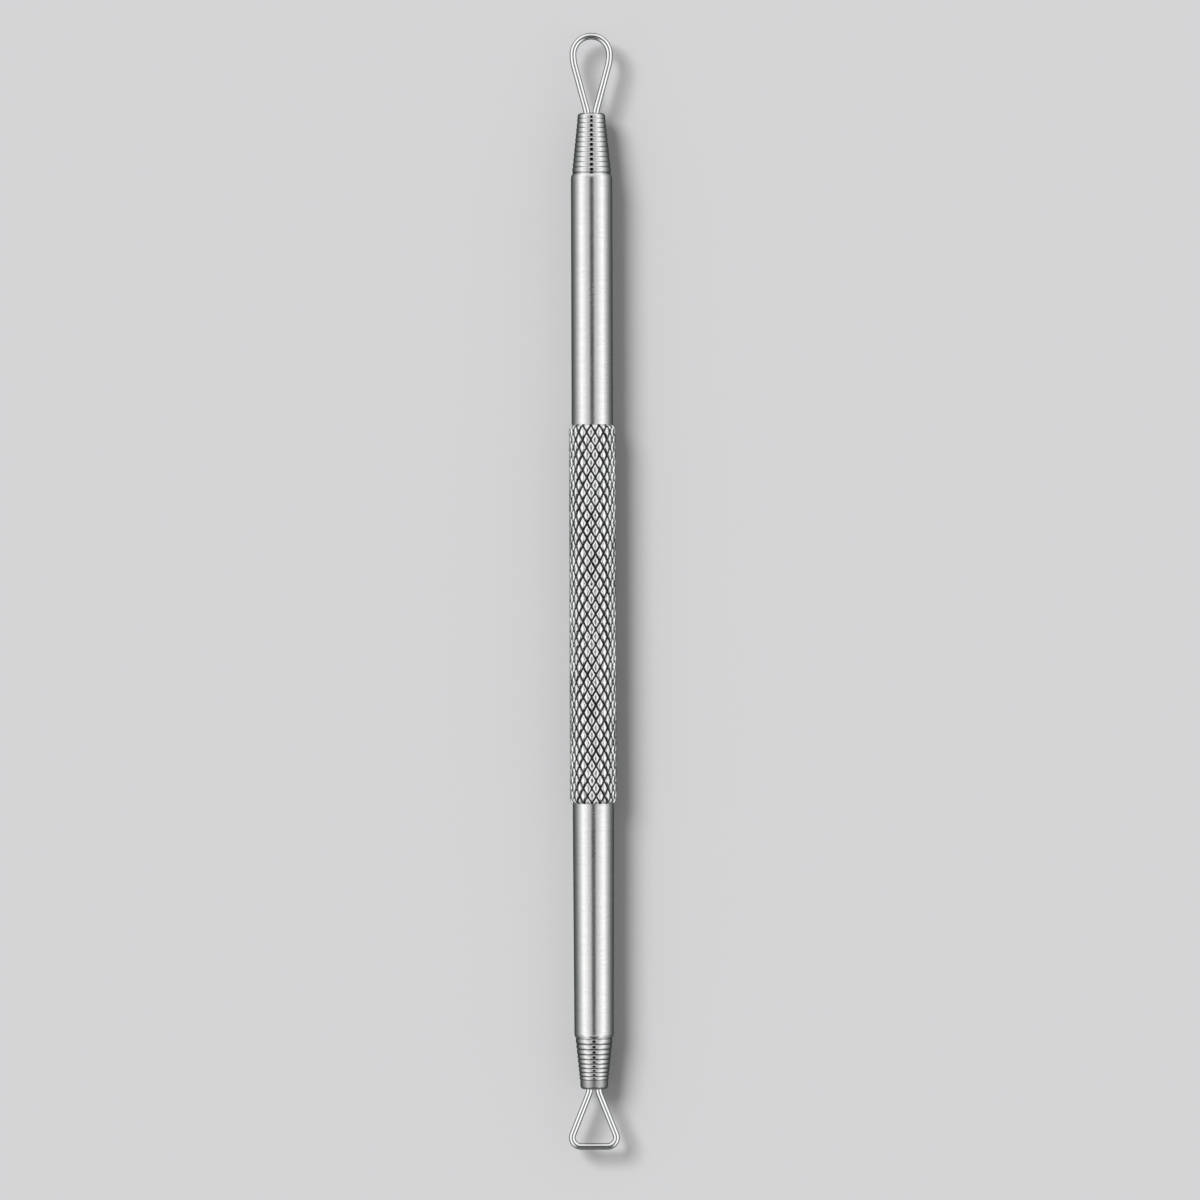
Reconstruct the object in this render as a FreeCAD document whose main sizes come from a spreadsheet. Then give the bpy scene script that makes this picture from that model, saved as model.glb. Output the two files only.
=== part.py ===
"""Double-ended wire-loop skin tool.

A knurled steel grip carries a plain tube at each end. Each tube holds a ringed ferrule,
and each ferrule holds the two legs of a bent wire loop: a teardrop on the upper end and
a triangle on the lower end.

The tool lies along Y, with the teardrop at +Y and both loops flat, in the plane of its
axis. The origin is under the middle of the overall length, on the surface that the grip
rests on. Lengths are in millimetres.
"""
import FreeCAD
import Part
import Sketcher
import math
import os

SIZES = (
    ("shaft_diameter", 4.45, "outside of both tubes, where they meet the grip"),
    ("shaft_wall", 0.6, "wall of both tubes at the grip"),
    ("upper_shaft_length", 26.9, "tube from the grip to the upper ferrule"),
    ("lower_shaft_length", 25.15, "tube from the grip to the lower ferrule"),
    ("lower_shaft_taper", 0.22, "diameter that the lower tube loses along its length"),
    ("shaft_end_length", 0.45, "length of the rounded end of a tube"),
    ("shaft_end_drop", 0.1, "radius that a tube loses over its rounded end"),
    ("grip_length", 40.6, "knurled stretch of the handle"),
    ("grip_rise", 0.3, "height of the knurl's lands over the tubes"),
    ("knurl_starts", 16, "grooves of each hand around the grip"),
    ("knurl_pitch", 1.62, "length of one diamond along the grip"),
    ("knurl_depth", 0.2, "depth of a knurl groove"),
    ("knurl_groove_width", 0.24, "width of a groove between two lands"),
    ("grip_end_drop", 0.2, "radius that the knurl loses at the ends of the grip"),
    ("spigot_length", 5.0, "length of each spigot inside its tube"),
    ("spigot_chamfer", 0.2, "lead-in at the end of a spigot"),
    ("press_gap", 0.01, "gap around a spigot in its tube"),
    ("ferrule_step", 0.01, "how far a ferrule's rings lie inside the end face of its tube"),
    ("tip_wall", 0.6, "metal around the wire hole at a ferrule's tip"),
    ("tip_round", 0.35, "rounding of a ferrule's tip"),
    ("upper_ferrule_length", 6.6, "upper tube to the tip of its ferrule"),
    ("upper_tip_band", 0.6, "plain band at the tip of the upper ferrule"),
    ("upper_ring_count", 11, "rings on the upper ferrule"),
    ("upper_ring_grading", 0.05, "share by which its first ring is longer than the mean"),
    ("upper_ring_height", 0.06, "height of its rounded rings over the valleys between"),
    ("lower_ferrule_length", 5.55, "lower tube to the tip of its ferrule"),
    ("lower_tip_band", 1.1, "plain collar at the tip of the lower ferrule"),
    ("lower_ring_count", 9, "rings on the lower ferrule"),
    ("lower_ring_grading", 0.2, "share by which its first ring is longer than the mean"),
    ("lower_ring_height", 0.08, "height of its rounded rings over the valleys between"),
    ("wire_diameter", 0.7, "round wire of both loops"),
    ("leg_gap", 0.28, "gap between the two legs of a loop, inside the ferrule"),
    ("leg_depth", 5.0, "length of the legs inside the ferrule"),
    ("braze_film", 0.05, "filler between a leg and the wall of its hole"),
    ("teardrop_reach", 8.65, "tip of the upper ferrule to the top of the teardrop"),
    ("teardrop_width", 4.62, "outside width of the teardrop"),
    ("teardrop_shoulder_radius", 5.1, "gentle curve below its half round top, at mid wire"),
    ("teardrop_bend_radius", 1.5, "bend where its legs leave the ferrule, at mid wire"),
    ("triangle_reach", 6.55, "tip of the lower ferrule to the outside of the cross bar"),
    ("triangle_width", 5.45, "outside width of the triangle at its corners"),
    ("triangle_corner_radius", 0.95, "rounded corners of the triangle, at mid wire"),
    ("triangle_bend_radius", 1.8, "bend where its legs leave the ferrule, at mid wire"),
)

SHAFT_RADIUS = "(Sizes.shaft_diameter / 2)"
TUBE_BORE_RADIUS = f"({SHAFT_RADIUS} - Sizes.shaft_wall)"
SPIGOT_RADIUS = f"({TUBE_BORE_RADIUS} - Sizes.press_gap)"
GRIP_RADIUS = f"({SHAFT_RADIUS} + Sizes.grip_rise)"
WIRE_RADIUS = "(Sizes.wire_diameter / 2)"
LEG_OFFSET = "((Sizes.wire_diameter + Sizes.leg_gap) / 2)"
WIRE_HOLE_RADIUS = f"({LEG_OFFSET} + {WIRE_RADIUS} + Sizes.braze_film)"
TIP_RADIUS = f"({WIRE_HOLE_RADIUS} + Sizes.tip_wall)"

# Outside radius at the far end of each tube, before its rounded end.
END_RADIUS = {
    "upper": SHAFT_RADIUS,
    "lower": f"({SHAFT_RADIUS} - Sizes.lower_shaft_taper / 2)",
}

# Stations along the tool, from the foot of the grip outwards.
UPPER_HALF = "(Sizes.upper_shaft_length + Sizes.upper_ferrule_length + Sizes.teardrop_reach)"
LOWER_HALF = "(Sizes.lower_shaft_length + Sizes.lower_ferrule_length + Sizes.triangle_reach)"
GRIP_FOOT = f"(({LOWER_HALF} - {UPPER_HALF} - Sizes.grip_length) / 2)"
GRIP_HEAD = f"({GRIP_FOOT} + Sizes.grip_length)"
UPPER_SEAT = f"({GRIP_HEAD} + Sizes.upper_shaft_length)"
LOWER_SEAT = f"({GRIP_FOOT} - Sizes.lower_shaft_length)"
UPPER_TIP = f"({UPPER_SEAT} + Sizes.upper_ferrule_length)"
LOWER_TIP = f"({LOWER_SEAT} - Sizes.lower_ferrule_length)"

# Numbers by which a sketch knows its two axes and the points of a line or an arc.
# Its origin is the start of the across axis.
ACROSS_AXIS, ALONG_AXIS = range(-1, -3, -1)
START, END, CENTRE = range(1, 4)
ORIGIN = (ACROSS_AXIS, START)

doc = FreeCAD.newDocument("LoopTool")
sheet = doc.addObject("Spreadsheet::Sheet", "Sizes")
for row, (alias, value, meaning) in enumerate(SIZES, start=1):
    sheet.set(f"A{row}", alias)
    sheet.set(f"B{row}", str(value))
    sheet.set(f"C{row}", meaning)
    sheet.setAlias(f"B{row}", alias)
doc.recompute()


def size(expression):
    """The present value of an expression of the sheet's cells."""
    return float(sheet.evalExpression(expression))


def place(piece, along, turned=False):
    """Puts a piece on the tool's axis at a station, turned end for end on the lower half."""
    half_turn = FreeCAD.Rotation(FreeCAD.Vector(0, 0, 1), 180 if turned else 0)
    piece.Placement = FreeCAD.Placement(FreeCAD.Vector(), half_turn)
    piece.setExpression("Placement.Base.y", along)
    piece.setExpression("Placement.Base.z", GRIP_RADIUS)


def new_body(label):
    """An empty body, labelled with the name of its piece."""
    body = doc.addObject("PartDesign::Body", label)
    body.Label = label
    return body


def new_sketch(body, name, role):
    """A sketch on one of the body's own planes."""
    sketch = body.newObject("Sketcher::SketchObject", name)
    plane = next(item for item in body.Origin.OriginFeatures if item.Role == role)
    sketch.AttachmentSupport = [(plane, "")]
    sketch.MapMode = "FlatFace"
    return sketch


def constrain(sketch, expression, kind, *elements):
    """Adds a constraint whose value follows an expression of the sheet's cells."""
    index = sketch.addConstraint(Sketcher.Constraint(kind, *elements, size(expression)))
    sketch.setExpression(f"Constraints[{index}]", expression)


def pin(sketch, geometry, point, across, along):
    """Fixes a point of a sketch at two expressions, measured from the sketch's origin."""
    constrain(sketch, across, "DistanceX", *ORIGIN, geometry, point)
    constrain(sketch, along, "DistanceY", *ORIGIN, geometry, point)


def add_circle(sketch, across, radius):
    """Adds a circle on the across axis of a sketch."""
    middle = FreeCAD.Vector(size(across), 0, 0)
    circle = sketch.addGeometry(Part.Circle(middle, FreeCAD.Vector(0, 0, 1), size(radius)))
    pin(sketch, circle, CENTRE, across, "0")
    constrain(sketch, radius, "Radius", circle)


def outward_arc(start, end, radius):
    """An arc from start to end that bulges to the right of its way."""
    chord = end - start
    side = FreeCAD.Vector(chord.y, -chord.x, 0).normalize()
    rise = radius - math.sqrt(radius ** 2 - (chord.Length / 2) ** 2)
    return Part.Arc(start, start + chord / 2 + side * rise, end)


def turned_piece(body, corners):
    """Turns a closed outline about the along axis of its body.

    Each corner is (radius, along, arc): two expressions, and the radius of the arc that
    leads to the next corner, or None where a straight line does. The outline runs with
    the material on its left.
    """
    sketch = new_sketch(body, "Outline", "XY_Plane")
    points = [FreeCAD.Vector(size(radius), size(along), 0) for radius, along, _ in corners]
    for index, (_, _, arc) in enumerate(corners):
        start, end = points[index], points[(index + 1) % len(points)]
        line = outward_arc(start, end, size(arc)) if arc else Part.LineSegment(start, end)
        sketch.addGeometry(line)
    for index, (radius, along, arc) in enumerate(corners):
        following = (index + 1) % len(corners)
        sketch.addConstraint(Sketcher.Constraint("Coincident", index, END, following, START))
        pin(sketch, index, START, radius, along)
        if arc:
            constrain(sketch, arc, "Radius", index)
    turned = body.newObject("PartDesign::Revolution", "Turned")
    turned.Profile = sketch
    turned.ReferenceAxis = (sketch, ["V_Axis"])
    turned.Angle = 360
    doc.recompute()
    return turned


def rim(feature, radius, along):
    """The name of the circular edge with this radius at this station of a turned feature."""
    for number, edge in enumerate(feature.Shape.Edges, start=1):
        circle = edge.Curve
        if not isinstance(circle, Part.Circle):
            continue
        same_radius = math.isclose(circle.Radius, size(radius), abs_tol=1e-4)
        same_place = math.isclose(circle.Center.y, size(along), abs_tol=1e-4)
        if same_radius and same_place:
            return f"Edge{number}"
    raise RuntimeError(f"{feature.Label} has no rim at {along}")


def knurl_point(radius, angle, along):
    """A point at a radius and angle around the axis of the grip."""
    return FreeCAD.Vector(radius * math.cos(angle), along, radius * math.sin(angle))


def knurl_solid():
    """The knurled bar: flat diamond lands between two crossing sets of vee grooves.

    The diamonds stand on a lattice of half turns between two starts and half pitches.
    Every second node of it is the middle of a land, and the nodes between are the pits
    where grooves cross. The two end rows are cut in half, and drop towards the ends.
    """
    length = size("Sizes.grip_length")
    starts = round(size("Sizes.knurl_starts"))
    rows = 2 * max(1, round(length / size("Sizes.knurl_pitch")))
    crest = size(GRIP_RADIUS)
    root = crest - size("Sizes.knurl_depth")
    end_drop = size("Sizes.grip_end_drop")
    half_turn = math.pi / starts
    half_pitch = length / rows
    half_width = crest * half_turn
    groove_spacing = 2 * half_width * half_pitch / math.hypot(half_width, half_pitch)
    land_share = 1 - size("Sizes.knurl_groove_width") / groove_spacing
    flat = crest * math.cos(half_turn * land_share)

    def pit(column, row):
        drop = end_drop if row in (0, rows) else 0
        return knurl_point(root - drop, column * half_turn, row * half_pitch)

    def side_corner(column, row, side):
        drop = end_drop if row in (0, rows) else 0
        return knurl_point(crest - drop, (column + side * land_share) * half_turn, row * half_pitch)

    def end_corner(column, row, way):
        return knurl_point(flat, column * half_turn, (row + way * land_share) * half_pitch)

    outlines = []
    for row in range(rows + 1):
        rim_points = []
        for column in range(2 * starts):
            if (column + row) % 2 == 0:
                rim_points.append(pit(column, row))
                continue
            left, right = side_corner(column, row, -1), side_corner(column, row, 1)
            rim_points += [left, right]
            land = [left, right]
            for way in (-1, 1):
                if not 0 <= row + way <= rows:
                    continue
                corner, bottom = end_corner(column, row, way), pit(column, row + way)
                land.insert(1 if way < 0 else len(land), corner)
                for neighbour, beside in ((column - 1, left), (column + 1, right)):
                    outlines.append([beside, bottom, corner])
                    outlines.append([beside, pit(neighbour, row), bottom])
            outlines.append(land)
        if row in (0, rows):
            outlines.append(rim_points)
    skin = Part.Compound([Part.Face(Part.makePolygon(points + points[:1])) for points in outlines])
    skin.sewShape()
    return Part.Solid(skin.Shells[0])


def knurled_grip():
    """The middle of the handle: a knurled bar with a spigot for a tube at each end."""
    knurl = doc.addObject("Part::Feature", "Knurl")
    knurl.Shape = knurl_solid()

    core = new_body("SpigotBar")
    chamfer = "Sizes.spigot_chamfer"
    length = "(Sizes.grip_length + 2 * Sizes.spigot_length)"
    turned_piece(core, (
        ("0", "0", None),
        (f"{SPIGOT_RADIUS} - {chamfer}", "0", None),
        (SPIGOT_RADIUS, chamfer, None),
        (SPIGOT_RADIUS, f"{length} - {chamfer}", None),
        (f"{SPIGOT_RADIUS} - {chamfer}", length, None),
        ("0", length, None),
    ))
    core.setExpression("Placement.Base.y", "-Sizes.spigot_length")

    grip = doc.addObject("Part::Fuse", "knurled_grip")
    grip.Base = core
    grip.Tool = knurl
    grip.Refine = False
    place(grip, GRIP_FOOT)
    return grip


def shaft_tube(end, station):
    """A plain tube, pressed over the grip's spigot, with a rounded far end."""
    tube = new_body(f"{end}_shaft_tube")
    length = f"Sizes.{end}_shaft_length"
    outside = END_RADIUS[end]
    drop, round_length = "Sizes.shaft_end_drop", "Sizes.shaft_end_length"
    round_radius = f"({round_length} ^ 2 + {drop} ^ 2) / (2 * {drop})"
    turned_piece(tube, (
        (TUBE_BORE_RADIUS, "0", None),
        (SHAFT_RADIUS, "0", None),
        (outside, f"{length} - {round_length}", round_radius),
        (f"{outside} - {drop}", length, None),
        (TUBE_BORE_RADIUS, length, None),
    ))
    place(tube, station, turned=end == "lower")
    return tube


def ferrule(end, station):
    """A tapered nose with rounded rings, a spigot in its tube and a hole for the wire."""
    body = new_body(f"{end}_ferrule")
    length = f"Sizes.{end}_ferrule_length"
    ring_count = round(size(f"Sizes.{end}_ring_count"))
    ringed_length = f"({length} - Sizes.{end}_tip_band)"
    base_radius = f"({END_RADIUS[end]} - Sizes.shaft_end_drop - Sizes.ferrule_step)"
    slope = f"(({base_radius} - {TIP_RADIUS}) / {ringed_length})"
    mean_pitch = f"({ringed_length} / {ring_count})"
    grading = f"Sizes.{end}_ring_grading"
    ring_height = f"Sizes.{end}_ring_height"

    rings = []
    for ring in range(ring_count + 1):
        # The rings shorten evenly towards the tip, so their sum has a squared term.
        summed = ring * (ring_count - ring) / (ring_count - 1)
        along = f"({mean_pitch} * ({ring} + {grading} * {summed}))"
        valley = f"{base_radius} - {slope} * {along} - {ring_height}"
        pitch = f"({mean_pitch} * (1 + {grading} * {1 - 2 * ring / (ring_count - 1)}))"
        half_chord_squared = f"({pitch} ^ 2 * (1 + {slope} ^ 2) / 4)"
        arc = f"({half_chord_squared} + {ring_height} ^ 2) / (2 * {ring_height})"
        rings.append((valley, along, arc if ring < ring_count else None))

    turned = turned_piece(body, (
        ("0", "-Sizes.spigot_length", None),
        (SPIGOT_RADIUS, "-Sizes.spigot_length", None),
        (SPIGOT_RADIUS, "0", None),
        *rings,
        (TIP_RADIUS, ringed_length, None),
        (TIP_RADIUS, length, None),
        (WIRE_HOLE_RADIUS, length, None),
        (WIRE_HOLE_RADIUS, f"{length} - Sizes.leg_depth", None),
        ("0", f"{length} - Sizes.leg_depth", None),
    ))
    lead_in = body.newObject("PartDesign::Chamfer", "LeadIn")
    lead_in.Base = (turned, [rim(turned, SPIGOT_RADIUS, "-Sizes.spigot_length")])
    lead_in.setExpression("Size", "Sizes.spigot_chamfer")
    doc.recompute()
    rounded = body.newObject("PartDesign::Fillet", "RoundedTip")
    rounded.Base = (lead_in, [rim(lead_in, TIP_RADIUS, length)])
    rounded.setExpression("Radius", "Sizes.tip_round")
    place(body, station, turned=end == "lower")
    return body


def side_angle(across, along, radii):
    """The lean of a straight side that is tangent to its bend and to the arc it leads to.

    The arc's centre lies across and along from the bend's centre, and radii is the sum of
    the two radii: across * cos(lean) + along * sin(lean) = radii.
    """
    return math.atan2(along, across) - math.acos(radii / math.hypot(across, along))


def arc_between(centre, radius, first, last):
    """An arc about a centre, counter-clockwise from one angle to another."""
    circle = Part.Circle(centre, FreeCAD.Vector(0, 0, 1), radius)
    return Part.ArcOfCircle(circle, first, last)


def bent_wire(label, bend_radius, arc_radius, arc_across, arc_along, crowned, station, turned):
    """A wire loop: two straight legs, an outward bend in each, and the closed end.

    Each side runs into an arc. A half round crown joins the two arcs of a crowned loop, and
    a straight bar those of any other. The legs lie below the along origin, in the ferrule.
    """
    body = new_body(label)
    route = new_sketch(body, "Route", "XY_Plane")
    leg, bend, arc = size(LEG_OFFSET), size(bend_radius), size(arc_radius)
    depth = size("Sizes.leg_depth")
    arc_centre = FreeCAD.Vector(size(arc_across), size(arc_along), 0)
    lean = side_angle(leg + bend - arc_centre.x, arc_centre.y, bend + arc)
    outward = FreeCAD.Vector(math.cos(lean), -math.sin(lean), 0)
    bend_centre = FreeCAD.Vector(leg + bend, 0, 0)
    side_start = bend_centre - outward * bend
    side_end = arc_centre + outward * arc

    def mirrored(point):
        return FreeCAD.Vector(-point.x, point.y, 0)

    # Each step is a line or an arc, with the points at which the route enters and leaves it.
    first_leg = Part.LineSegment(FreeCAD.Vector(leg, -depth, 0), FreeCAD.Vector(leg, 0, 0))
    last_leg = Part.LineSegment(FreeCAD.Vector(-leg, 0, 0), FreeCAD.Vector(-leg, -depth, 0))
    first_side = Part.LineSegment(side_start, side_end)
    last_side = Part.LineSegment(mirrored(side_end), mirrored(side_start))
    steps = {
        "first_leg": (first_leg, START, END),
        "first_bend": (arc_between(bend_centre, bend, math.pi - lean, math.pi), END, START),
        "first_side": (first_side, START, END),
    }
    if crowned:
        arc_end = 0
        middle = FreeCAD.Vector(0, arc_centre.y, 0)
        closed_end = arc_between(middle, arc + arc_centre.x, 0, math.pi)
    else:
        arc_end = math.pi / 2
        over = FreeCAD.Vector(0, arc, 0)
        closed_end = Part.LineSegment(arc_centre + over, mirrored(arc_centre) + over)
    last_arc = arc_between(mirrored(arc_centre), arc, math.pi - arc_end, math.pi + lean)
    steps["first_arc"] = (arc_between(arc_centre, arc, -lean, arc_end), START, END)
    steps["closed_end"] = (closed_end, START, END)
    steps["last_arc"] = (last_arc, START, END)
    steps["last_side"] = (last_side, START, END)
    steps["last_bend"] = (arc_between(mirrored(bend_centre), bend, 0, lean), END, START)
    steps["last_leg"] = (last_leg, START, END)

    line = {name: route.addGeometry(shape) for name, (shape, _, _) in steps.items()}
    names = list(steps)
    for name, following in zip(names, names[1:]):
        leaving, entering = steps[name][2], steps[following][1]
        tangent = Sketcher.Constraint("Tangent", line[name], leaving, line[following], entering)
        route.addConstraint(tangent)

    def mirror(name, point, other, other_point):
        symmetric = Sketcher.Constraint(
            "Symmetric", line[name], point, line[other], other_point, ALONG_AXIS
        )
        route.addConstraint(symmetric)

    pin(route, line["first_leg"], START, LEG_OFFSET, "-Sizes.leg_depth")
    route.addConstraint(Sketcher.Constraint("Vertical", line["first_leg"]))
    route.addConstraint(Sketcher.Constraint("PointOnObject", line["first_leg"], END, ACROSS_AXIS))
    mirror("first_leg", START, "last_leg", END)
    mirror("first_leg", END, "last_leg", START)
    constrain(route, bend_radius, "Radius", line["first_bend"])
    route.addConstraint(Sketcher.Constraint("Equal", line["first_bend"], line["last_bend"]))
    constrain(route, arc_radius, "Radius", line["first_arc"])
    pin(route, line["first_arc"], CENTRE, arc_across, arc_along)
    route.addConstraint(Sketcher.Constraint("Equal", line["first_arc"], line["last_arc"]))
    mirror("first_arc", CENTRE, "last_arc", CENTRE)
    if crowned:
        constrain(route, arc_along, "DistanceY", *ORIGIN, line["closed_end"], CENTRE)

    section = new_sketch(body, "Section", "XZ_Plane")
    section.setExpression("AttachmentOffset.Base.z", "Sizes.leg_depth")
    add_circle(section, LEG_OFFSET, WIRE_RADIUS)
    wire = body.newObject("PartDesign::AdditivePipe", "Wire")
    wire.Profile = section
    wire.Spine = (route, [f"Edge{number}" for number, _ in enumerate(steps, start=1)])
    place(body, station, turned)
    return body


def teardrop_loop():
    """The upper loop: a half round top, with sides that curve and then close to the ferrule."""
    shoulder = "Sizes.teardrop_shoulder_radius"
    arc_across = f"Sizes.teardrop_width / 2 - {WIRE_RADIUS} - {shoulder}"
    arc_along = "Sizes.teardrop_reach - Sizes.teardrop_width / 2"
    bend = "Sizes.teardrop_bend_radius"
    return bent_wire(
        "teardrop_loop", bend, shoulder, arc_across, arc_along, True, UPPER_TIP, False
    )


def triangle_loop():
    """The lower loop: two rounded corners with a straight cross bar between them."""
    corner = "Sizes.triangle_corner_radius"
    arc_across = f"Sizes.triangle_width / 2 - {WIRE_RADIUS} - {corner}"
    arc_along = f"Sizes.triangle_reach - {WIRE_RADIUS} - {corner}"
    bend = "Sizes.triangle_bend_radius"
    return bent_wire(
        "triangle_loop", bend, corner, arc_across, arc_along, False, LOWER_TIP, True
    )


def braze(end, station):
    """The filler metal in a ferrule's hole, around the two legs of its loop."""
    body = new_body(f"{end}_braze")
    sketch = new_sketch(body, "HoleAndLegs", "XZ_Plane")
    add_circle(sketch, "0", WIRE_HOLE_RADIUS)
    add_circle(sketch, LEG_OFFSET, WIRE_RADIUS)
    add_circle(sketch, f"-{LEG_OFFSET}", WIRE_RADIUS)
    fill = body.newObject("PartDesign::Pad", "Fill")
    fill.Profile = sketch
    fill.setExpression("Length", "Sizes.leg_depth")
    place(body, station, turned=end == "lower")
    return body


pieces = [
    knurled_grip(),
    shaft_tube("upper", GRIP_HEAD),
    shaft_tube("lower", GRIP_FOOT),
    ferrule("upper", UPPER_SEAT),
    ferrule("lower", LOWER_SEAT),
    teardrop_loop(),
    triangle_loop(),
    braze("upper", UPPER_TIP),
    braze("lower", LOWER_TIP),
]
doc.recompute()

for item in doc.Objects:
    if {"Invalid", "Error"} & set(item.State):
        raise RuntimeError(f"{item.Label} failed: {item.State}")
for piece in pieces:
    if piece.Shape.isNull() or not piece.Shape.isValid():
        raise RuntimeError(f"{piece.Label} has no valid shape")

os.makedirs("parts", exist_ok=True)
for piece in pieces:
    piece.Shape.exportStep(os.path.join("parts", f"{piece.Label}.step"))
    print(f"{piece.Label}: {piece.Shape.Volume:.2f} mm3")
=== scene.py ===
import math

import bpy
import numpy as np
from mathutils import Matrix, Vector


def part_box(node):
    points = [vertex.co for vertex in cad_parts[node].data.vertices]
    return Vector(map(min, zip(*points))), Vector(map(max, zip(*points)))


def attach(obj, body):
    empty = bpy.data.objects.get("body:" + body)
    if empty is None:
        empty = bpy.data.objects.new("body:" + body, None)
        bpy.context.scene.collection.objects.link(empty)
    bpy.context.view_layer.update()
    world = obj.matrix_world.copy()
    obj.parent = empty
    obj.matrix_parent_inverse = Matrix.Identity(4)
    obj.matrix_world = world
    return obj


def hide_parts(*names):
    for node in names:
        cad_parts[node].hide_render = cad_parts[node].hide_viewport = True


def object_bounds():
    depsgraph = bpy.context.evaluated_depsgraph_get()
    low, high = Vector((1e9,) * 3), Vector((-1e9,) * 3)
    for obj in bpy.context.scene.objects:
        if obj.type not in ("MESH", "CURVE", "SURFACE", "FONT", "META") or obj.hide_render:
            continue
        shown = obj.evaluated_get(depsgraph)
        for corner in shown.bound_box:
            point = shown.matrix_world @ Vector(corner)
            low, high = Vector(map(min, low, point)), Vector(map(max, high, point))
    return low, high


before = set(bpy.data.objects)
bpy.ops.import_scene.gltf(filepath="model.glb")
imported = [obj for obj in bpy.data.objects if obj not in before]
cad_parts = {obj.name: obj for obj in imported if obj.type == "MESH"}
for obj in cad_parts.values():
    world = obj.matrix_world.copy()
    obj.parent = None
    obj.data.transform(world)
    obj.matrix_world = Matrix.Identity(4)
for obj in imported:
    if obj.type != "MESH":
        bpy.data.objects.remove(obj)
cad_low, cad_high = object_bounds()

# Knurled grip: the middle of the handle, a stainless steel bar with a diamond knurl rolled into it
# by two crossing sets of grooves. A spigot turned on each end is pressed into a shaft tube.
MM = 0.001
grip_low, grip_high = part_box("knurled_grip")
grip_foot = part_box("lower_shaft_tube")[1].y
grip_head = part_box("upper_shaft_tube")[0].y
grip_length = grip_head - grip_foot
axis_height = (grip_low.z + grip_high.z) / 2
crest_radius = (grip_high.z - grip_low.z) / 2
spigot_radius = 1.615 * MM
spigot_chamfer = 0.2 * MM
grip_end_drop = 0.26 * MM
grip_end_length = 0.5 * MM
sharp_edge = math.radians(40)
knurl_starts = 16
knurl_pitch = 1.62 * MM
knurl_pitches = round(grip_length / knurl_pitch)
knurl_turn = math.radians(3.7)
groove_depth = 0.2 * MM

# The edge of a land, as a share of the way from its middle to the middle of a groove, and the fall
# from the land's middle to that edge, as a share of the groove's depth.
land_share = 0.55
land_fall = 0.08

# The roll bore unevenly on the bar, so the depth of the grooves changes by up to twice this share of
# itself, in two sets of waves that wind along the bar. The waves are counted round the bar, and the
# slow set moves on by one radian over the length given here.
press_change = 0.16
quick_waves = 5
slow_waves = 3
slow_wave_radian = 2.9 * MM

# Places across one pitch of the knurl that carry mesh points, close together where a land meets
# the wall of a groove.
knurl_spots = np.array([0, 0.06, 0.2, 0.24, 0.36, 0.5, 0.64, 0.76, 0.8, 0.94])


def groove_share(place):
    """How far down a groove a place lies: 1 in the middle of the groove and 0 in mid land.

    Grooves run at the whole numbers of place. A land falls away from its middle by the square of
    the distance, and from its edge the wall of the groove runs straight down.
    """
    from_land = 1 - 2 * np.abs(place - np.round(place))
    wall = np.clip((from_land - land_share) / (1 - land_share), 0, 1)
    land = np.minimum(from_land / land_share, 1)
    return land_fall * land ** 2 + (1 - land_fall) * wall


def bands(rings):
    """Quads between each row of point numbers and the next, closed round the axis."""
    here, ahead = rings[:-1], rings[1:]
    beside = np.roll(rings, -1, axis=-1)
    return np.stack([here, ahead, beside[1:], beside[:-1]], axis=-1).reshape(-1, 4).tolist()


def fan(pole, ring):
    """Triangles from one point to each pair of neighbours on a ring."""
    return np.stack([np.full_like(ring, pole), ring, np.roll(ring, -1)], axis=-1).tolist()


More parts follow.
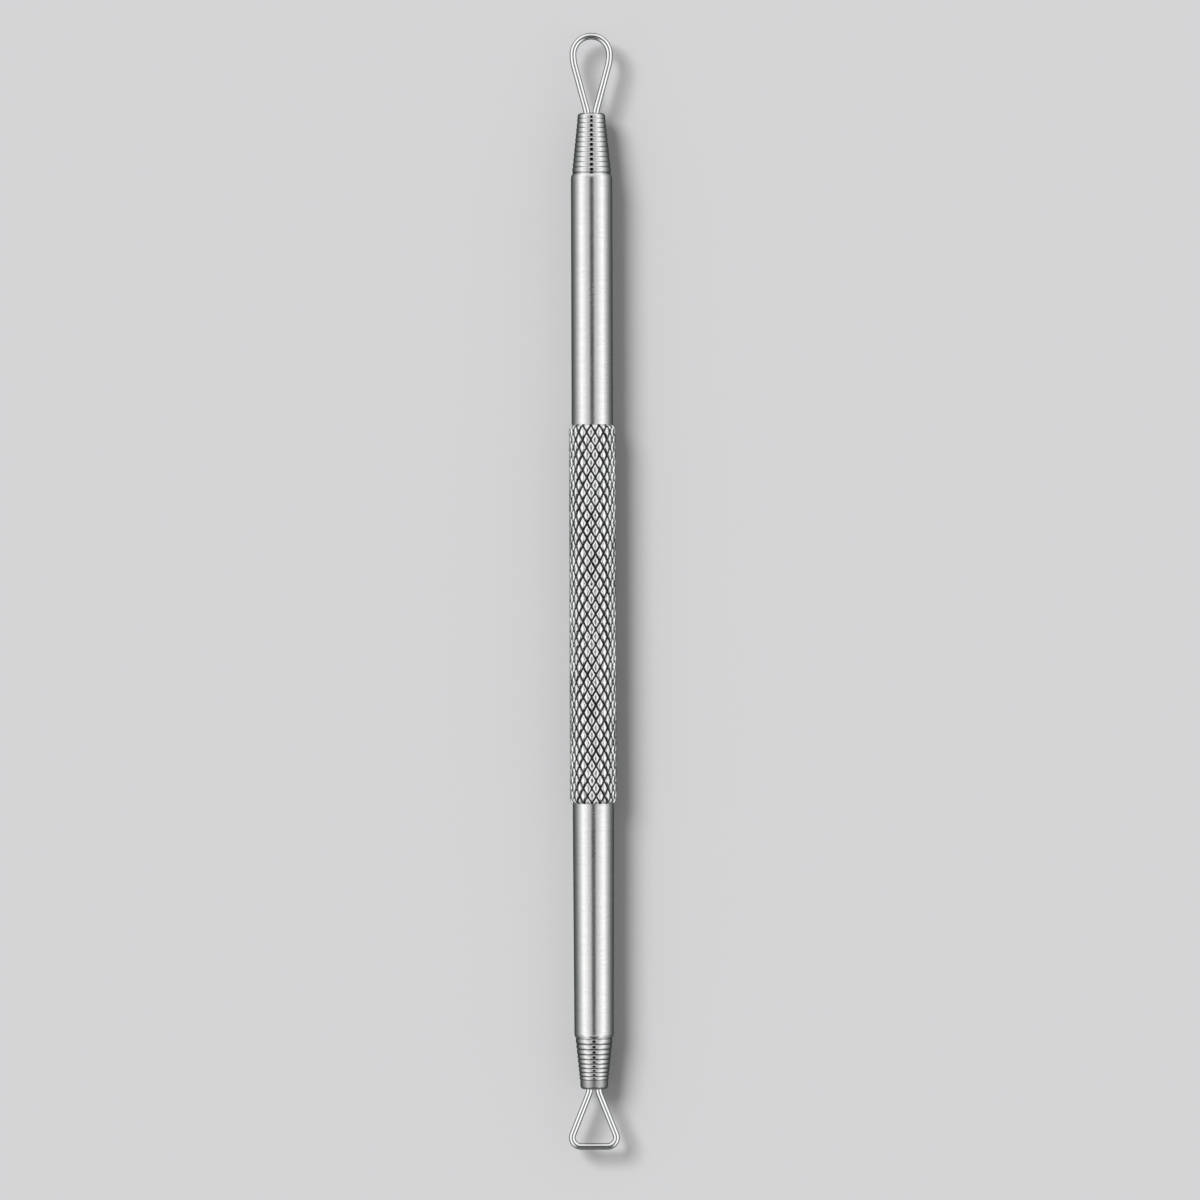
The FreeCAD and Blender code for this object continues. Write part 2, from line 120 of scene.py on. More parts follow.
def knurled_bar():
    """Points, faces and groove shares of the grip.

    Each point has a place among the grooves of either hand. Its angle is the sum of the two places
    in half turns between two grooves, and its place along the bar is their difference in half
    pitches. Where grooves cross, the height left is the product of what each one leaves. The
    radius is the crest less the groove, whose depth swells and fades as the roll bore on the bar,
    and less the quarter ellipse that rounds each end.
    """
    steps = len(knurl_spots)
    columns = np.arange(knurl_starts * steps)
    rows = np.arange(2 * knurl_pitches * steps + 1)[:, None]
    first_hand = columns // steps + knurl_spots[columns % steps] + 0 * rows
    second_hand = (columns - rows) // steps + knurl_spots[(columns - rows) % steps]
    angle = (first_hand + second_hand) * math.pi / knurl_starts + knurl_turn
    along = (first_hand - second_hand) * grip_length / knurl_pitches / 2
    groove = 1 - (1 - groove_share(first_hand)) * (1 - groove_share(second_hand))
    quick_swell = np.sin(quick_waves * angle + first_hand - second_hand)
    slow_swell = np.sin(slow_waves * angle - along / slow_wave_radian)
    swell = quick_swell + slow_swell
    beyond = np.clip(1 - np.minimum(along, grip_length - along) / grip_end_length, 0, 1)
    drop = grip_end_drop * (1 - np.sqrt(1 - beyond ** 2))
    radius = crest_radius - groove_depth * (1 + press_change * swell) * groove - drop

    spigot_radii = np.array([spigot_radius - spigot_chamfer, spigot_radius, spigot_radius])[:, None]
    spigot_rows = len(spigot_radii)
    lower_stations = np.array([grip_low.y, grip_low.y + spigot_chamfer, grip_foot])[:, None]
    upper_stations = np.array([grip_head, grip_high.y - spigot_chamfer, grip_high.y])[:, None]
    level = np.zeros((1, len(columns)))
    radius = np.concatenate([spigot_radii + level, radius, spigot_radii[::-1] + level])
    angle = np.concatenate([angle[:1]] * spigot_rows + [angle] + [angle[-1:]] * spigot_rows)
    along = np.concatenate([lower_stations + level, grip_foot + along, upper_stations + level])
    groove = np.concatenate([level] * spigot_rows + [groove] + [level] * spigot_rows)

    points = np.stack(
        [radius * np.cos(angle), along, axis_height + radius * np.sin(angle)], axis=-1
    ).reshape(-1, 3)
    poles = np.array([[0, grip_low.y, axis_height], [0, grip_high.y, axis_height]])
    numbers = np.arange(len(points)).reshape(radius.shape)
    knurl = numbers[spigot_rows:-spigot_rows]
    beside = np.roll(knurl, -1, axis=1)
    diamonds = np.stack([knurl[1:-1], beside[2:], beside[1:-1], knurl[:-2]], axis=-1)
    first_halves = np.stack([knurl[0], beside[1], beside[0]], axis=-1)
    last_halves = np.stack([knurl[-1], beside[-1], knurl[-2]], axis=-1)
    faces = bands(numbers[:spigot_rows + 1]) + bands(numbers[-spigot_rows - 1:])
    faces += diamonds.reshape(-1, 4).tolist() + first_halves.tolist() + last_halves.tolist()
    faces += fan(len(points), numbers[0]) + fan(len(points) + 1, numbers[-1][::-1])
    return np.concatenate([points, poles]), faces, np.append(groove.ravel(), [0, 0])


def add_node(tree, kind, inputs, **settings):
    """A shader node, with its inputs set to numbers or joined to the outputs of other nodes."""
    node = tree.nodes.new(kind)
    for name, value in settings.items():
        setattr(node, name, value)
    for name, value in inputs.items():
        if isinstance(value, bpy.types.NodeSocket):
            tree.links.new(value, node.inputs[name])
        else:
            node.inputs[name].default_value = value
    return node


def new_metal(name):
    """A bare metal material, its node tree and its shader."""
    material = bpy.data.materials.new(name)
    material.use_nodes = True
    shader = material.node_tree.nodes["Principled BSDF"]
    shader.inputs["Metallic"].default_value = 1.0
    return material, material.node_tree, shader


def noise(tree, place, cell, detail=3.0):
    """Cloudy noise from 0 to 1 with cells of a real size, and finer noise inside them."""
    made = add_node(
        tree, "ShaderNodeTexNoise", {"Vector": place, "Scale": 1 / cell, "Detail": detail}
    )
    return made.outputs["Fac"]


def stretched(tree, place, scale):
    """A place drawn out or squeezed along each axis, for a pattern that runs one way."""
    return add_node(
        tree, "ShaderNodeMapping", {"Vector": place, "Scale": scale}
    ).outputs["Vector"]


def spread(tree, value, low, high, start=0.3, end=0.7):
    """A value between start and end, carried to the range from low to high and held inside it."""
    made = add_node(
        tree,
        "ShaderNodeMapRange",
        {"Value": value, "From Min": start, "From Max": end, "To Min": low, "To Max": high},
    )
    return made.outputs["Result"]


def combine(tree, operation, first, second=0.0):
    """One or two values put through one step of arithmetic."""
    return add_node(
        tree, "ShaderNodeMath", {0: first, 1: second}, operation=operation
    ).outputs["Value"]


def shades(tree, value, *stops):
    """A colour from a value, by a ramp of (position, colour) stops."""
    made = add_node(tree, "ShaderNodeValToRGB", {"Fac": value})
    ramp = made.color_ramp.elements
    while len(ramp) < len(stops):
        ramp.new(1.0)
    for element, (position, colour) in zip(ramp, stops):
        element.position = position
        element.color = (*colour, 1.0)
    return made.outputs["Color"]


def roughen(tree, shader, height, depth):
    """A bump of a real depth on the shader's normal."""
    bump = add_node(tree, "ShaderNodeBump", {"Height": height, "Distance": depth})
    tree.links.new(bump.outputs["Normal"], shader.inputs["Normal"])


def knurled_steel():
    """Rolled steel: bright crowned lands with worn mottling, and painted shade in the grooves."""
    material, tree, shader = new_metal("rolled_knurl")
    place = add_node(tree, "ShaderNodeTexCoord", {}).outputs["Object"]
    groove = add_node(tree, "ShaderNodeAttribute", {}, attribute_name="groove").outputs["Fac"]
    mottle = noise(tree, place, cell=0.5 * MM, detail=4.0)
    grain = noise(tree, stretched(tree, place, scale=(1.0, 0.4, 1.0)), cell=0.12 * MM)
    # The groove share darkens the colour towards black: painted shade in the grooves, with worn
    # mottling added.
    groove_shade_and_mottle = combine(tree, "ADD", groove, spread(tree, mottle, low=-0.1, high=0.1))
    colour = shades(
        tree,
        groove_shade_and_mottle,
        (0.0, (0.86, 0.86, 0.855)),
        (0.4, (0.80, 0.80, 0.795)),
        (0.64, (0.22, 0.23, 0.23)),
        (0.9, (0.02, 0.023, 0.025)),
    )
    tree.links.new(colour, shader.inputs["Base Color"])
    polish = spread(tree, mottle, low=0.08, high=0.14)
    dirt = spread(tree, groove, low=0.0, high=0.06, start=0.5, end=1.0)
    tree.links.new(combine(tree, "ADD", polish, dirt), shader.inputs["Roughness"])
    roughen(tree, shader, combine(tree, "ADD", mottle, grain), depth=0.026 * MM)
    return material


def make_piece(name, points, faces, node, slot, material):
    """A smooth closed mesh at the origin that stands for one node and rides on its body."""
    mesh = bpy.data.meshes.new(name)
    mesh.from_pydata(points, [], faces)
    mesh.shade_smooth()
    mesh.set_sharp_from_angle(angle=sharp_edge)
    mesh.materials.append(material)
    piece = bpy.data.objects.new(name, mesh)
    bpy.context.scene.collection.objects.link(piece)
    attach(piece, "root")
    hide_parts(node)
    return piece


def mark(piece, name, values):
    """Stores a number or a vector at each point of a piece, for its material to read."""
    kind, field = ("FLOAT", "value") if values.ndim == 1 else ("FLOAT_VECTOR", "vector")
    attribute = piece.data.attributes.new(name, kind, "POINT")
    attribute.data.foreach_set(field, values.astype(np.float32).ravel())


grip_points, grip_faces, grip_grooves = knurled_bar()
grip = make_piece("grip", grip_points, grip_faces, "knurled_grip", "knurled_steel", knurled_steel())
mark(grip, "groove", grip_grooves)

# Shaft tubes: plain drawn stainless steel tubes with a satin finish, one pressed over each spigot
# of the grip. The far end of each is rounded over, and the lower one tapers a little.
tube_sides = 160
tube_wall_rows = 40
tube_end_rows = 14
tube_radius = (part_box("upper_shaft_tube")[1].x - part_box("upper_shaft_tube")[0].x) / 2
tube_bore = 1.625 * MM
tube_edge = 0.06 * MM
tube_end_length = 0.45 * MM
tube_end_drop = 0.1 * MM
lower_taper = 0.11 * MM


def turned(radii, stations, start, direction):
    """Rings of a profile turned round the tool's axis, one row for each radius and station.

    A point is at radius times the cosine and sine of its angle from the axis. A direction of -1
    turns the piece half round, so its stations run down the tool.
    """
    angle = np.linspace(0, 2 * math.pi, tube_sides, endpoint=False)
    radii = np.asarray(radii)[:, None]
    across = direction * radii * np.cos(angle)
    along = start + direction * np.asarray(stations)[:, None] + 0 * across
    return np.stack([across, along, axis_height + radii * np.sin(angle)], axis=-1)


def closed_skin(rings, looped=False):
    """Points and faces of a skin over rows of rings.

    A looped skin runs from its last ring back to its first. Any other is closed at both ends by
    a point in the middle of the end ring.
    """
    points = rings.reshape(-1, 3)
    numbers = np.arange(len(points)).reshape(rings.shape[:2])
    if looped:
        return points, bands(np.concatenate([numbers, numbers[:1]]))
    poles = rings[[0, -1]].mean(axis=1)
    faces = bands(numbers)
    faces += fan(len(points), numbers[0]) + fan(len(points) + 1, numbers[-1][::-1])
    return np.concatenate([points, poles]), faces


def shaft_tube(start, length, far_radius, direction):
    """A tube's outer wall, rounded end, end faces and bore, as one looped skin.

    The rounded end is an arc that leaves the wall along it: its radius is half of the length
    squared plus the drop squared, over the drop.
    """
    turn_radius = (tube_end_length ** 2 + tube_end_drop ** 2) / (2 * tube_end_drop)
    turned_part = np.linspace(0, tube_end_length, tube_end_rows)
    end_radii = far_radius - turn_radius + np.sqrt(turn_radius ** 2 - turned_part ** 2)
    wall = np.linspace(0, 1, tube_wall_rows)
    wall_stations = tube_edge + wall * (length - tube_end_length - tube_edge)
    wall_radii = tube_radius + wall * (far_radius - tube_radius)
    radii = [tube_bore, tube_radius - tube_edge, *wall_radii, *end_radii[1:], tube_bore]
    stations = [0, 0, *wall_stations, *(length - tube_end_length + turned_part[1:]), length]
    return closed_skin(turned(radii, stations, start, direction), looped=True)


def satin_steel():
    """Satin steel: a fine blasted grain, faint lines round the tube, and soft handling marks."""
    grain_share = 0.6
    line_share = 0.4
    material, tree, shader = new_metal("satin_tube")
    place = add_node(tree, "ShaderNodeTexCoord", {}).outputs["Object"]
    grain = noise(tree, place, cell=0.18 * MM, detail=4.0)
    along_tube = stretched(tree, place, scale=(0.06, 1.0, 0.06))
    lines = noise(tree, along_tube, cell=0.15 * MM, detail=2.0)
    handling = noise(tree, place, cell=5.0 * MM, detail=5.0)
    tone = combine(
        tree,
        "ADD",
        combine(tree, "MULTIPLY", grain, grain_share),
        combine(tree, "MULTIPLY", lines, line_share),
    )
    colour = shades(
        tree,
        tone,
        (0.25, (0.66, 0.66, 0.66)),
        (0.5, (0.75, 0.75, 0.745)),
        (0.75, (0.82, 0.82, 0.815)),
    )
    tree.links.new(colour, shader.inputs["Base Color"])
    sheen = combine(
        tree,
        "ADD",
        spread(tree, handling, low=0.24, high=0.26),
        spread(tree, grain, low=-0.02, high=0.02),
    )
    tree.links.new(sheen, shader.inputs["Roughness"])
    roughen(tree, shader, tone, depth=0.007 * MM)
    return material


satin_finish = satin_steel()
upper_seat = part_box("upper_shaft_tube")[1].y
lower_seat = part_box("lower_shaft_tube")[0].y
lower_end_radius = tube_radius - lower_taper
make_piece(
    "upper_shaft",
    *shaft_tube(grip_head, upper_seat - grip_head, tube_radius, 1),
    "upper_shaft_tube",
    "satin_steel",
    satin_finish,
)
make_piece(
    "lower_shaft",
    *shaft_tube(grip_foot, grip_foot - lower_seat, lower_end_radius, -1),
    "lower_shaft_tube",
    "satin_steel",
    satin_finish,
)

# Ferrules: tapered steel noses with rounded rings turned on them, each with a spigot pressed into
# the end of its tube. The tip is a plain rounded band with a hole for the two legs of the wire.
ferrule_step = 0.01 * MM
ferrule_spigot_length = 5.0 * MM
ring_rows = 16
tip_corner_rows = 10
tip_radius = 1.49 * MM
tip_round = 0.35 * MM
wire_hole_radius = 0.89 * MM
leg_depth = 5.0 * MM
ring_start = {"upper": 0.23 * MM, "lower": 0.11 * MM}
tip_band_length = {"upper": 0.57 * MM, "lower": 0.98 * MM}
tip_dullness = {"upper": 0.0, "lower": 1.0}
ring_count = {"upper": 11, "lower": 9}
ring_grading = {"upper": 0.05, "lower": 0.2}
ring_height = {"upper": 0.06 * MM, "lower": 0.08 * MM}
ring_crown = {"upper": 4.2, "lower": 3.0}
# The power of the painted shade in the ring valleys, for each ferrule.
valley_shade_power = {"upper": 4.0, "lower": 1.1}
last_ring_radius = {"upper": 1.5 * MM, "lower": 1.535 * MM}


def ferrule(end, seat, tip, seat_radius):
    """A ferrule's spigot, rings, tip band, rounded tip and hole, with two marks for each point.

    Ring n ends at the mean pitch times n + grading * n * (count - n) / (count - 1), so the rings
    shorten evenly to the tip. The crests lie on a cone, but each ring is level: its surface falls
    from the crest by a power of the distance from the ring's middle, and further on the tip side.
    The marks are painted shade in the valleys, a power of how far a point is sunk, and whether a
    point is on a dull tip band.
    """
    length = abs(tip - seat)
    count = ring_count[end]
    ringed = length - tip_band_length[end]
    base_radius = seat_radius - tube_end_drop - ferrule_step
    slope = (base_radius - last_ring_radius[end]) / ringed
    number = np.arange(count + 1)
    drift = ring_grading[end] * number * (count - number) / (count - 1)
    ends = ring_start[end] + (ringed - ring_start[end]) / count * (number + drift)
    across = np.linspace(-1, 1, ring_rows + 1)
    middles = (ends[1:, None] + ends[:-1, None]) / 2
    halves = (ends[1:, None] - ends[:-1, None]) / 2
    sunk = np.abs(across) ** ring_crown[end]
    falls = (ring_height[end] + slope * halves * np.sign(across)) * sunk
    ring_radii = (base_radius - slope * middles - falls).ravel()
    ring_stations = (middles + halves * across).ravel()
    corner = np.linspace(0, math.pi / 2, tip_corner_rows)
    corner_radii = tip_radius - tip_round * (1 - np.cos(corner))
    corner_stations = length - tip_round * (1 - np.sin(corner))
    spigot_radii = [spigot_radius - spigot_chamfer, spigot_radius, spigot_radius]
    spigot_stations = [-ferrule_spigot_length, spigot_chamfer - ferrule_spigot_length, 0]
    hole_radii = [wire_hole_radius, wire_hole_radius]
    hole_stations = [length, length - leg_depth]
    radii = [*spigot_radii, ring_radii[0], *ring_radii, tip_radius, *corner_radii, *hole_radii]
    stations = [*spigot_stations, 0, *ring_stations, ringed, *corner_stations, *hole_stations]
    rows = np.arange(len(radii))
    before = len(spigot_radii) + 1
    after = before + len(ring_radii)
    # The valley mark carries the painted shade in the ring valleys.
    valley = np.zeros(len(rows))
    valley[before:after] = np.tile(sunk ** valley_shade_power[end], count)
    dull = np.where((rows >= after) & (rows < len(rows) - len(hole_radii)), 1.0, 0.0)
    direction = 1 if tip > seat else -1
    points, faces = closed_skin(turned(radii, stations, seat, direction))
    marks = np.repeat([valley, dull * tip_dullness[end]], tube_sides, axis=1)
    return points, faces, np.pad(marks, ((0, 0), (0, 2)))


def turned_steel():
    """Turned steel: bright ring crowns with fine tool lines, painted shade in the valleys, a dull
    tip band.
    """
    valley_shade_share = 0.85
    dull_share = 0.5
    dull_roughness = 0.26
    material, tree, shader = new_metal("turned_rings")
    place = add_node(tree, "ShaderNodeTexCoord", {}).outputs["Object"]
    valley = add_node(tree, "ShaderNodeAttribute", {}, attribute_name="valley").outputs["Fac"]
    dull = add_node(tree, "ShaderNodeAttribute", {}, attribute_name="dull").outputs["Fac"]
    grain = noise(tree, place, cell=0.2 * MM, detail=4.0)
    along_nose = stretched(tree, place, scale=(0.05, 1.0, 0.05))
    tool_lines = noise(tree, along_nose, cell=0.05 * MM, detail=2.0)
    # The valley mark darkens the colour down the ramp: painted shade in the ring valleys.
    shaded_valleys = combine(tree, "MULTIPLY", valley, valley_shade_share)
    worn = combine(
        tree,
        "ADD",
        combine(tree, "MULTIPLY", dull, dull_share),
        spread(tree, grain, low=-0.06, high=0.1),
    )
    colour = shades(
        tree,
        combine(tree, "ADD", shaded_valleys, worn),
        (0.0, (0.66, 0.66, 0.655)),
        (0.35, (0.56, 0.56, 0.555)),
        (0.9, (0.13, 0.135, 0.135)),
    )
    tree.links.new(colour, shader.inputs["Base Color"])
    polish = combine(
        tree,
        "ADD",
        spread(tree, grain, low=0.05, high=0.09),
        spread(tree, tool_lines, low=-0.02, high=0.02),
    )
    satin = combine(tree, "MULTIPLY", dull, dull_roughness)
    tree.links.new(combine(tree, "ADD", polish, satin), shader.inputs["Roughness"])
    roughen(tree, shader, combine(tree, "ADD", grain, tool_lines), depth=0.004 * MM)
    return material


turned_finish = turned_steel()
upper_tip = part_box("upper_ferrule")[1].y
lower_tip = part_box("lower_ferrule")[0].y
for end, seat, tip, seat_radius in (
    ("upper", upper_seat, upper_tip, tube_radius),
    ("lower", lower_seat, lower_tip, lower_end_radius),
):
    nose_points, nose_faces, (nose_valleys, nose_dullness) = ferrule(end, seat, tip, seat_radius)
    nose = make_piece(
        f"{end}_nose", nose_points, nose_faces, f"{end}_ferrule", "turned_steel", turned_finish
    )
    mark(nose, "valley", nose_valleys)
    mark(nose, "dull", nose_dullness)

# Wire loops: round stainless steel wire, bent cold and polished. The teardrop stands on the upper
# ferrule and the triangle on the lower one, each with its two legs brazed into the ferrule's hole.
wire_radius = 0.35 * MM
wire_sides = 40
wire_spacing = 0.08 * MM
leg_offset = 0.49 * MM


def loop_route(bend, arc, arc_across, arc_along, end_length, end_turn):
    """The lengths and turns of a loop, from the foot of one leg to the foot of the other.

    The straight side leans so that it is tangent to the bend at the ferrule and to the arc beyond
    it: across * cos(lean) + along * sin(lean) is the sum of both radii, with the arc's centre that
    far from the bend's. The closed end joins the two arcs, and the second half mirrors the first.
    """
    across = leg_offset + bend - arc_across
    radii = bend + arc
    reach = math.hypot(across, arc_along)
    lean = math.atan2(arc_along, across) - math.acos(radii / reach)
    side = math.sqrt(reach ** 2 - radii ** 2)
    arc_turn = math.pi / 2 + lean - end_turn / 2
    half = [(leg_depth, 0), (bend * lean, -lean), (side, 0), (arc * arc_turn, arc_turn)]
    return half + [(end_length, end_turn)] + half[::-1]


def swept_wire(route, tip, direction):
    """Rings of a round wire along a route of straight runs and bends, and the place on the wire.

    Along a step, the heading grows evenly by its turn, so the path is the sum of the cosine and
    sine of the heading. A ring's point is the wire radius times the cosine of its angle across the
    path, in the plane of the loop, and times the sine square to that plane.
    """
    lengths, turns = np.array(route).T
    counts = np.maximum(2, np.ceil(lengths / wire_spacing)).astype(int)
    shares = np.concatenate([[0]] + [np.arange(1, count + 1) / count for count in counts])
    steps = np.concatenate([[0], np.repeat(np.arange(len(counts)), counts)])
    heading = math.pi / 2 + (np.cumsum(turns) - turns)[steps] + turns[steps] * shares
    gone = (np.cumsum(lengths) - lengths)[steps] + lengths[steps] * shares
    middle = (heading[1:] + heading[:-1]) / 2
    half_turn = np.diff(heading) / 2
    chord = np.diff(gone) * np.sinc(half_turn / math.pi)
    x = leg_offset + np.concatenate([[0], np.cumsum(chord * np.cos(middle))])
    y = -leg_depth + np.concatenate([[0], np.cumsum(chord * np.sin(middle))])
    angle = np.linspace(0, 2 * math.pi, wire_sides, endpoint=False)
    side = wire_radius * np.cos(angle)
    rise = wire_radius * np.sin(angle)
    across = direction * (x[:, None] + np.sin(heading)[:, None] * side)
    along = tip + direction * (y[:, None] - np.cos(heading)[:, None] * side)
    rings = np.stack([across, along, axis_height + rise + 0 * across], axis=-1)
    on_wire = np.stack([gone[:, None] + 0 * across, side + 0 * across, rise + 0 * across], axis=-1)
    return rings, on_wire


def polished_wire():
    """Polished wire: bright, with painted shade at its edges, faint draw lines along it and a few
    rubbed spots.
    """
    material, tree, shader = new_metal("drawn_wire")
    # A near-black specular tint darkens the reflection towards the wire's outline: painted shade at
    # the edges.
    shader.inputs["Specular Tint"].default_value = (0.1, 0.12, 0.12, 1.0)
    place = add_node(tree, "ShaderNodeTexCoord", {}).outputs["Object"]
    on_wire = add_node(tree, "ShaderNodeAttribute", {}, attribute_name="on_wire").outputs["Vector"]
    along_wire = stretched(tree, on_wire, scale=(0.03, 1.0, 1.0))
    draw_lines = noise(tree, along_wire, cell=0.06 * MM, detail=2.0)
    rubbed = noise(tree, place, cell=0.9 * MM, detail=4.0)
    colour = shades(
        tree,
        draw_lines,
        (0.25, (0.78, 0.79, 0.79)),
        (0.7, (0.92, 0.925, 0.92)),
    )
    tree.links.new(colour, shader.inputs["Base Color"])
    sheen = combine(
        tree,
        "ADD",
        spread(tree, rubbed, low=0.04, high=0.10, start=0.4, end=0.75),
        spread(tree, draw_lines, low=0.0, high=0.03),
    )
    tree.links.new(sheen, shader.inputs["Roughness"])
    roughen(tree, shader, draw_lines, depth=0.001 * MM)
    return material


wire_finish = polished_wire()
teardrop_bend = 1.5 * MM
teardrop_shoulder = 5.1 * MM
teardrop_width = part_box("teardrop_loop")[1].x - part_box("teardrop_loop")[0].x
teardrop_crown = teardrop_width / 2 - wire_radius
teardrop_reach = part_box("teardrop_loop")[1].y - upper_tip
teardrop_route = loop_route(
    teardrop_bend,
    teardrop_shoulder,
    teardrop_crown - teardrop_shoulder,
    teardrop_reach - teardrop_width / 2,
    math.pi * teardrop_crown,
    math.pi,
)
triangle_bend = 1.8 * MM
triangle_corner = 0.95 * MM
triangle_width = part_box("triangle_loop")[1].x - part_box("triangle_loop")[0].x
triangle_reach = lower_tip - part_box("triangle_loop")[0].y
triangle_across = triangle_width / 2 - wire_radius - triangle_corner
triangle_route = loop_route(
    triangle_bend,
    triangle_corner,
    triangle_across,
    triangle_reach - wire_radius - triangle_corner,
    2 * triangle_across,
    0,
)
for name, route, tip, direction in (
    ("teardrop", teardrop_route, upper_tip, 1),
    ("triangle", triangle_route, lower_tip, -1),
):
    wire_rings, wire_places = swept_wire(route, tip, direction)
    loop = make_piece(
        name, *closed_skin(wire_rings), f"{name}_loop", "polished_wire", wire_finish
    )
    end_places = wire_places[[0, -1]].mean(axis=1)
    mark(loop, "on_wire", np.concatenate([wire_places.reshape(-1, 3), end_places]))

# Braze: silver filler metal that fills each ferrule's hole round the two legs of its loop. It is
# run in hot, so its face dips between the legs and climbs a little way up them.
braze_dip = 0.12 * MM
braze_climb = 0.2 * MM
braze_reach = 0.16 * MM
braze_rows = 24
braze_inner_share = 0.02


def braze_plug(tip, direction):
    """Rings of a plug in the hole: its foot, its wall and its face.

    The face dips below the tip, and climbs each leg by the square of how near its wall is. Both
    fade out towards the rim of the hole, as one less the fourth power of the radius.
    """
    face = np.linspace(1, braze_inner_share, braze_rows) * wire_hole_radius
    radii = np.concatenate([[wire_hole_radius], face])
    rings = turned(radii, np.concatenate([[-leg_depth], 0 * face]), tip, direction)
    across = rings[1:, :, 0]
    height = rings[1:, :, 2] - axis_height
    from_leg = np.hypot(np.abs(across) - leg_offset, height) - wire_radius
    near = np.clip(1 - from_leg / braze_reach, 0, 1) ** 2
    inside = 1 - (face[:, None] / wire_hole_radius) ** 4
    rings[1:, :, 1] += direction * inside * (braze_climb * near - braze_dip)
    return closed_skin(rings)


def silver_braze():
    """Silver filler: dull and uneven, with darker flux stains."""
    material, tree, shader = new_metal("silver_filler")
    place = add_node(tree, "ShaderNodeTexCoord", {}).outputs["Object"]
    stain = noise(tree, place, cell=0.5 * MM, detail=5.0)
    pits = noise(tree, place, cell=0.08 * MM)
    colour = shades(tree, stain, (0.3, (0.30, 0.29, 0.27)), (0.7, (0.62, 0.60, 0.56)))
    tree.links.new(colour, shader.inputs["Base Color"])
    tree.links.new(spread(tree, pits, low=0.35, high=0.55), shader.inputs["Roughness"])
    roughen(tree, shader, pits, depth=0.02 * MM)
    return material


braze_finish = silver_braze()
make_piece("upper_filler", *braze_plug(upper_tip, 1), "upper_braze", "silver_braze", braze_finish)
make_piece("lower_filler", *braze_plug(lower_tip, -1), "lower_braze", "silver_braze", braze_finish)

# Studio: a plain floor under the tool and a soft tent of light round it, dark right overhead and
# high up in front, and dimmer at the back. A key light shines from the upper left, and the camera
# looks straight down.
floor_side = 4.0
floor_mesh = bpy.data.meshes.new("floor")
floor_corners = np.array([[-1, -1, 0], [1, -1, 0], [1, 1, 0], [-1, 1, 0]]) * floor_side / 2
floor_mesh.from_pydata(floor_corners, [], [(0, 1, 2, 3)])
floor_material = bpy.data.materials.new("floor")
floor_material.use_nodes = True
floor_shader = floor_material.node_tree.nodes["Principled BSDF"]
floor_shader.inputs["Base Color"].default_value = (0.32, 0.32, 0.325, 1.0)
floor_shader.inputs["Roughness"].default_value = 0.9
floor_shader.inputs["Specular IOR Level"].default_value = 0.1
floor_mesh.materials.append(floor_material)
floor = bpy.data.objects.new("floor", floor_mesh)
bpy.context.scene.collection.objects.link(floor)
floor.visible_glossy = False

# The bounds of the tent's dark parts say how far a direction points along X, Y or Z. They come in
# pairs, and between the two of a pair the light changes from that of the tent to that of the part.
tent_strength = 1.45
tent_tilt = math.radians(14)
opening_light = 0.01
opening_width = 0.18
opening_edge = 0.235
opening_stretch = 0.6
front_light = 0.03
front_end = -0.54
front_start = -0.32
front_half = 0.3
front_edge = 0.55
front_foot = 0.1
front_top = 0.38
back_light = 0.4
back_start = 0.92
back_end = 1.0
world = bpy.data.worlds.new("studio")
world.use_nodes = True
bpy.context.scene.world = world
sky = world.node_tree
backdrop = sky.nodes["Background"]
heading = add_node(sky, "ShaderNodeTexCoord", {}).outputs["Generated"]
facing = add_node(sky, "ShaderNodeSeparateXYZ", {"Vector": heading})
tent_axis = (0, math.sin(tent_tilt), math.cos(tent_tilt))
along_axis = add_node(
    sky, "ShaderNodeVectorMath", {0: heading, 1: tent_axis}, operation="DOT_PRODUCT"
).outputs["Value"]

# Each stop is an angle in degrees from the tent's axis, as a share of a half turn, and the light
# that comes from there.
tent = shades(
    sky,
    combine(sky, "DIVIDE", combine(sky, "ARCCOSINE", along_axis), math.pi),
    (0 / 180, (0.50, 0.50, 0.50)),
    (14 / 180, (0.50, 0.50, 0.50)),
    (25 / 180, (0.45, 0.45, 0.45)),
    (35 / 180, (0.58, 0.58, 0.58)),
    (45 / 180, (0.81, 0.81, 0.81)),
    (55 / 180, (0.88, 0.88, 0.88)),
    (65 / 180, (1.00, 1.00, 1.00)),
    (72 / 180, (0.73, 0.735, 0.735)),
    (80 / 180, (0.54, 0.55, 0.55)),
    (90 / 180, (0.40, 0.415, 0.41)),
    (100 / 180, (0.24, 0.252, 0.25)),
    (115 / 180, (0.12, 0.13, 0.128)),
    (140 / 180, (0.04, 0.046, 0.045)),
    (180 / 180, (0.02, 0.025, 0.024)),
)
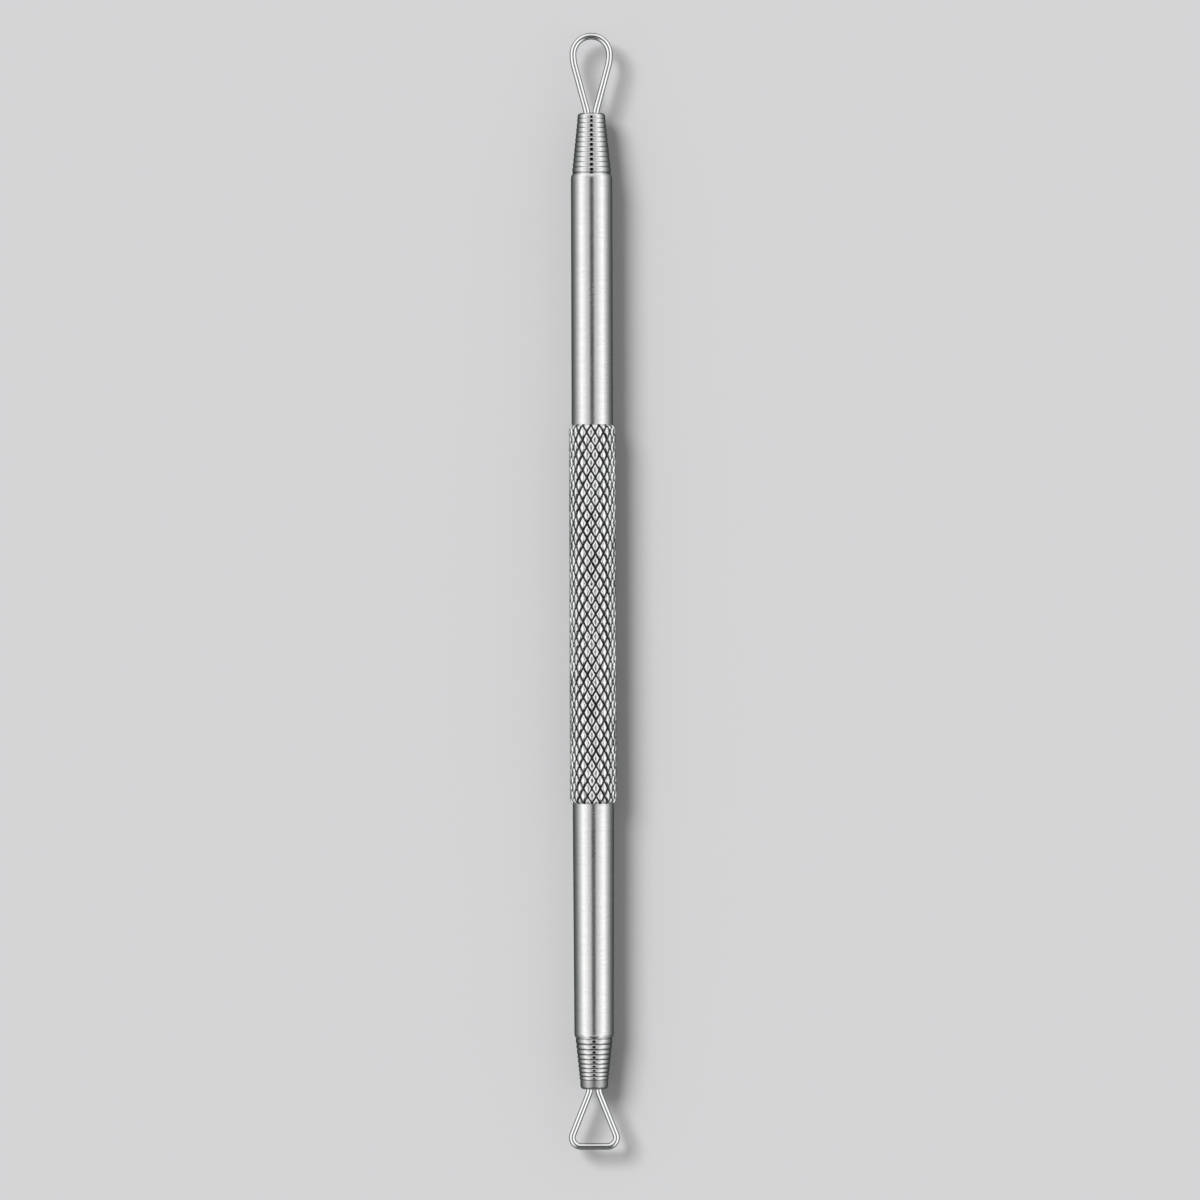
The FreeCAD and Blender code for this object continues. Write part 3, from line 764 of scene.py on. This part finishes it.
flattened = add_node(
    sky, "ShaderNodeVectorMath", {0: heading, 1: (1.0, opening_stretch, 0.0)}, operation="MULTIPLY"
).outputs["Vector"]
from_overhead = add_node(
    sky, "ShaderNodeVectorMath", {0: flattened}, operation="LENGTH"
).outputs["Value"]
opening = spread(sky, from_overhead, opening_light, tent_strength, opening_width, opening_edge)
front = spread(sky, facing.outputs["Y"], front_light, 1.0, front_end, front_start)
sideways = combine(sky, "ABSOLUTE", facing.outputs["X"])
beside_front = spread(sky, sideways, 0.0, 1.0, front_half, front_edge)
below_front = spread(sky, facing.outputs["Z"], 1.0, 0.0, front_foot, front_top)
round_front = combine(sky, "MAXIMUM", beside_front, below_front)
back = spread(sky, facing.outputs["Y"], 1.0, back_light, back_start, back_end)
ends = combine(sky, "MULTIPLY", combine(sky, "MAXIMUM", front, round_front), back)
sky.links.new(tent, backdrop.inputs["Color"])
sky.links.new(combine(sky, "MULTIPLY", opening, ends), backdrop.inputs["Strength"])

key_from_top = math.radians(-26)
key_from_left = math.radians(-35)
key = bpy.data.lights.new("key", "SUN")
key.energy = 5.5
key.angle = math.radians(28)
key_light = bpy.data.objects.new("key", key)
key_light.rotation_euler = (key_from_top, key_from_left, 0)
key_light.visible_glossy = False
bpy.context.scene.collection.objects.link(key_light)

# The tool lies in the picture as in the photo: its length, middle and tilt there set the camera.
photo_side = 1200
tool_length_pixels = 1116.8
tool_centre_pixels = (592.8, 591.3)
tool_tilt = math.radians(0.168)
lens = bpy.data.cameras.new("camera")
lens.lens = 200
lens.sensor_width = 36
lens.clip_end = 10
pixel = (cad_high.y - cad_low.y) / tool_length_pixels
camera = bpy.data.objects.new("camera", lens)
camera.location = (
    (photo_side / 2 - tool_centre_pixels[0]) * pixel,
    (tool_centre_pixels[1] - photo_side / 2) * pixel,
    axis_height + photo_side * pixel * lens.lens / lens.sensor_width,
)
camera.rotation_euler = (0, 0, -tool_tilt)
bpy.context.scene.collection.objects.link(camera)
bpy.context.scene.camera = camera
bpy.context.scene.view_settings.view_transform = "Standard"
